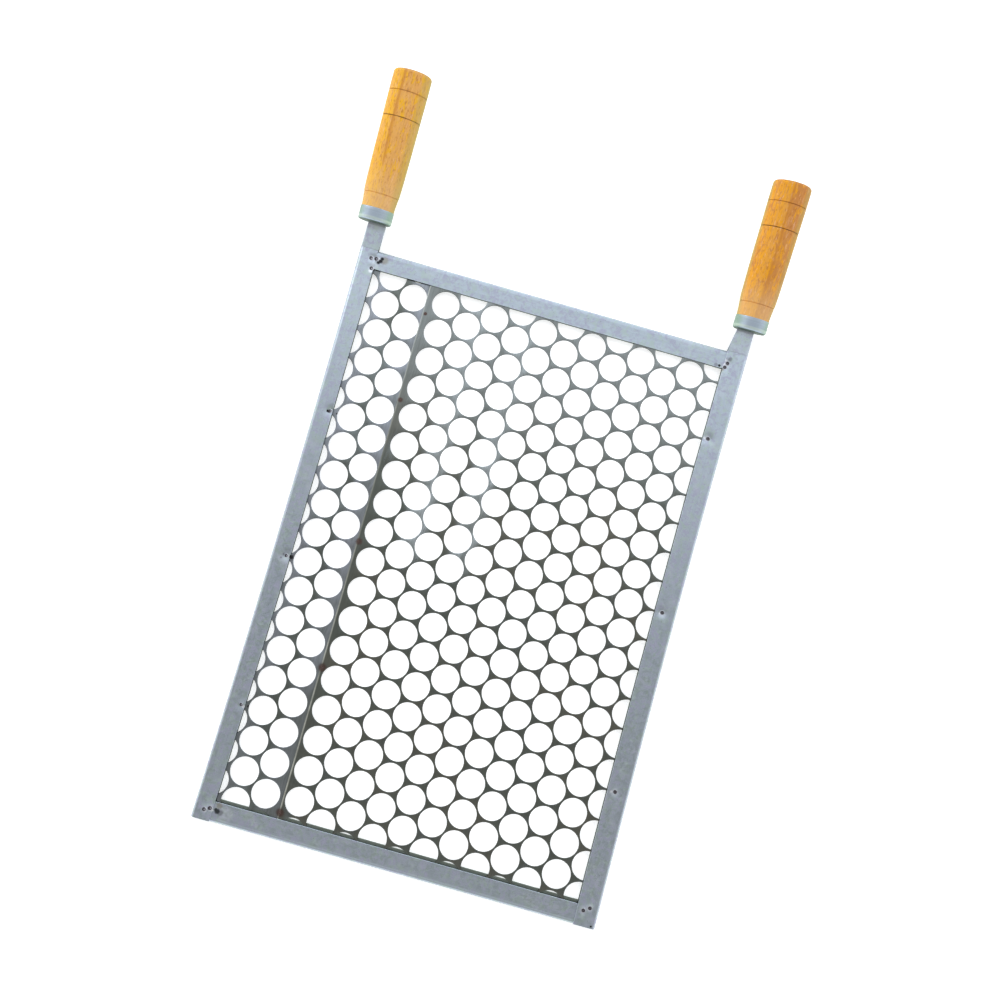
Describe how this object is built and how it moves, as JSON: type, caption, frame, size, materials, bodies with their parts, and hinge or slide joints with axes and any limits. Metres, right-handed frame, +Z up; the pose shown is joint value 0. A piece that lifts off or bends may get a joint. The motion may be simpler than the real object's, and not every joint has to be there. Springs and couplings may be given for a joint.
{
  "type": "two-handled barbecue grill",
  "caption": "Flat grill of punched round-hole sheet steel in a folded galvanised frame, with turned wooden grips on the ends of both side rails.",
  "frame": {"origin": "bottom centre of the whole object's box, on the plane that the side rails' undersides lie in", "axes": "+Z up, square to the cooking sheet; +Y along the side rails towards the wooden grips; +X across the grill to the right, away from the narrow sheet"},
  "size_m": [0.3722, 0.6536, 0.0591],
  "materials": {
    "punched_sheet": "dull rolled steel, olive-grey, with a little oil and heat staining",
    "galvanised_strip": "satin galvanised strip with faint lengthwise streaks",
    "ferrule_steel": "satin pressed steel with a worn rim",
    "weld_steel": "heat-stained spot welds",
    "turned_wood": "oiled honey-coloured hardwood with burnt grooves"
  },
  "bodies": {
    "root": {"wide_perforated_sheet": "punched_sheet", "narrow_perforated_sheet": "punched_sheet", "left_side_rail": "galvanised_strip", "right_side_rail": "galvanised_strip", "handle_end_bar": "galvanised_strip", "far_end_bar": "galvanised_strip", "left_ferrule": "ferrule_steel", "right_ferrule": "ferrule_steel", "left_grip": "turned_wood", "right_grip": "turned_wood", "handle_end_left_corner_welds": "weld_steel", "handle_end_right_corner_welds": "weld_steel", "far_end_left_corner_welds": "weld_steel", "far_end_right_corner_welds": "weld_steel", "left_rail_spot_welds": "weld_steel", "right_rail_spot_welds": "weld_steel", "seam_spot_welds": "weld_steel"}
  },
  "joints": []
}
